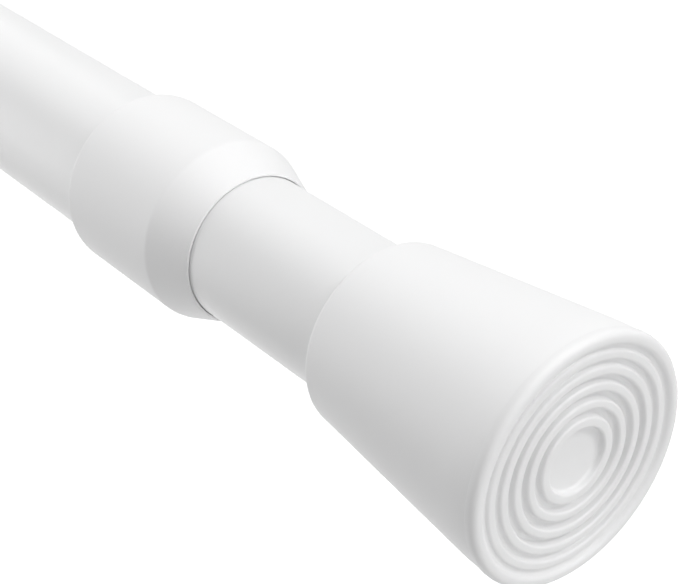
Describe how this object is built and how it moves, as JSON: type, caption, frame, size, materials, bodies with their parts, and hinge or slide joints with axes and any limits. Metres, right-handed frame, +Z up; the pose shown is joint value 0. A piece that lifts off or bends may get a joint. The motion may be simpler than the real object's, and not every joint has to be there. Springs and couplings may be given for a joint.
{
  "type": "spring tension rod",
  "caption": "Telescoping spring tension rod with a twist lock and soft ringed feet, pressed between two walls to carry a light curtain.",
  "frame": {"origin": "middle of the far pad's contact face, on the rod's axis", "axes": "+X along the rod from the far pad to the near pad, +Z up, the rod lying level as it is used"},
  "size_m": [0.434, 0.0336, 0.0336],
  "materials": {
    "coated_tube": "smooth white powder coat, semi-gloss",
    "moulded_white": "white moulded plastic, fine satin",
    "soft_pad": "white soft moulded rubber, matte",
    "plug_plastic": "natural moulded plastic",
    "lock_plastic": "dark moulded plastic",
    "spindle_plastic": "grey glass-filled plastic",
    "plated_steel": "bright zinc plate",
    "drawn_steel": "cold-drawn steel",
    "spring_steel": "oiled spring wire"
  },
  "bodies": {
    "outer": {"outer_tube": "coated_tube", "collar": "moulded_white", "far_foot": "moulded_white", "far_pad": "soft_pad", "far_plug": "plug_plastic"},
    "ring": {"friction_ring": "lock_plastic"},
    "spindle": {"lock_spindle": "spindle_plastic", "shoe_washer": "plated_steel", "shoe_screw": "plated_steel", "spring_seat": "plated_steel", "guide_rod": "drawn_steel", "rod_washer": "plated_steel", "rod_nut": "plated_steel", "coil_spring": "spring_steel"},
    "shoe": {"lock_shoe": "lock_plastic"},
    "inner": {"spring_washer": "plated_steel", "stop_bush": "lock_plastic", "guide_bush": "lock_plastic", "inner_tube": "coated_tube", "near_plug": "plug_plastic", "near_foot": "moulded_white", "near_pad": "soft_pad"}
  },
  "joints": [
    {"name": "telescope", "type": "slide", "parent": "outer", "child": "ring", "axis": [1, 0, 0], "range_m": [0, 0.175]},
    {"name": "twist", "type": "hinge", "parent": "ring", "child": "spindle", "pos_m": [0.04745, 0, 0], "axis": [1, 0, 0], "range_deg": [0, 60]},
    {"name": "shoe_turn", "type": "hinge", "parent": "spindle", "child": "shoe", "pos_m": [0.03625, 0, 0.001], "axis": [1, 0, 0], "range_deg": [-60, 0]},
    {"name": "spring_press", "type": "slide", "parent": "spindle", "child": "inner", "axis": [1, 0, 0], "range_m": [-0.028, 0], "stiffness_N_per_m": 1910, "springref_m": 0.002, "deforming": ["coil_spring"]}
  ],
  "couplings": [
    {"joint": "shoe_turn", "follows": "twist", "ratio": -1}
  ]
}
